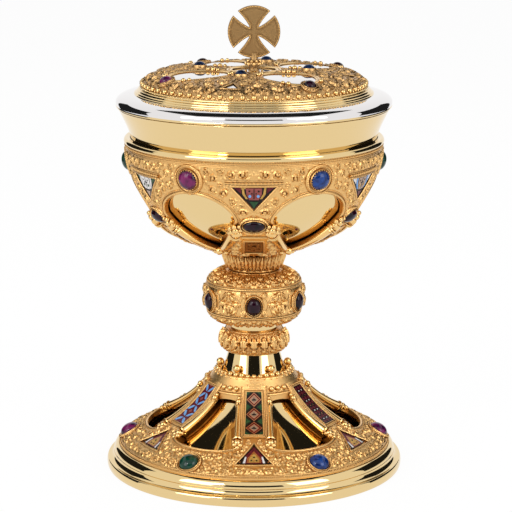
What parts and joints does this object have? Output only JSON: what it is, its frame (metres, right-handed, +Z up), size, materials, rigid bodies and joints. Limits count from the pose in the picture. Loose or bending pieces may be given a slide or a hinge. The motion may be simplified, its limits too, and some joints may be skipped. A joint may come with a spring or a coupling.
{
  "type": "covered ciborium",
  "caption": "Covered cup on a knopped stem and a broad foot, with cast openwork over polished metal, enamel, cabochons and a flat cross on the lid.",
  "frame": {"origin": "on the ground, on the axis of the foot, the stem and the cup", "axes": "+Z up along the axis; -Y is the front, where a strut of the foot and of the calyx faces; +X to the right of a viewer in front"},
  "size_m": [0.152, 0.152, 0.2362],
  "materials": {
    "polished_gilt": "gilt, polished to a mirror",
    "cast_gilt": "gilt casting, satin with bright edges",
    "brushed_gilt": "old gilt, brushed",
    "steel": "plain turned steel",
    "garnet": "very dark red stone, polished",
    "purple_stone": "purple stone, polished",
    "blue_stone": "blue stone, polished",
    "green_stone": "opaque green stone, polished",
    "dark_enamel": "dark red enamel, glossy",
    "blue_enamel": "purple enamel with light leaves, glossy",
    "brown_enamel": "brown enamel, glossy"
  },
  "bodies": {
    "vessel": {"foot_shell": "polished_gilt", "foot_openwork": "cast_gilt", "foot_enamel_strip_1": "brown_enamel", "foot_enamel_strip_2": "dark_enamel", "foot_enamel_strip_3": "blue_enamel", "foot_enamel_strip_4": "brown_enamel", "foot_enamel_strip_5": "dark_enamel", "foot_enamel_strip_6": "blue_enamel", "foot_cabochon_1": "blue_stone", "foot_cabochon_2": "purple_stone", "foot_cabochon_3": "green_stone", "foot_cabochon_4": "blue_stone", "foot_cabochon_5": "purple_stone", "foot_cabochon_6": "green_stone", "tie_rod": "steel", "stem_washer": "steel", "stem_nut": "steel", "small_knop": "cast_gilt", "stem_collar": "polished_gilt", "knop": "cast_gilt", "knop_cabochon_1": "garnet", "knop_cabochon_2": "garnet", "knop_cabochon_3": "garnet", "knop_cabochon_4": "garnet", "knop_cabochon_5": "garnet", "knop_cabochon_6": "garnet", "cup": "polished_gilt", "calyx": "cast_gilt", "calyx_ring": "polished_gilt", "calyx_cabochon_1": "blue_stone", "calyx_cabochon_2": "green_stone", "calyx_cabochon_3": "purple_stone", "calyx_cabochon_4": "blue_stone", "calyx_cabochon_5": "green_stone", "calyx_cabochon_6": "purple_stone", "calyx_oval_cabochon_1": "garnet", "calyx_oval_cabochon_2": "garnet", "calyx_oval_cabochon_3": "garnet", "calyx_oval_cabochon_4": "garnet", "calyx_oval_cabochon_5": "garnet", "calyx_oval_cabochon_6": "garnet", "calyx_enamel_1": "dark_enamel", "calyx_enamel_2": "dark_enamel", "calyx_enamel_3": "dark_enamel", "calyx_enamel_4": "dark_enamel", "calyx_enamel_5": "dark_enamel", "calyx_enamel_6": "dark_enamel"},
    "lid": {"lid_shell": "polished_gilt", "lid_openwork": "cast_gilt", "cross": "brushed_gilt", "cross_nut": "steel", "lid_cabochon_1": "garnet", "lid_cabochon_2": "garnet", "lid_cabochon_3": "garnet", "lid_cabochon_4": "purple_stone", "lid_inner_cabochon_1": "blue_stone", "lid_inner_cabochon_2": "blue_stone", "lid_inner_cabochon_3": "blue_stone", "lid_inner_cabochon_4": "blue_stone"}
  },
  "joints": [
    {"name": "lid_lift", "type": "slide", "parent": "vessel", "child": "lid", "axis": [0, 0, 1], "range_m": [0, 0.1]}
  ]
}
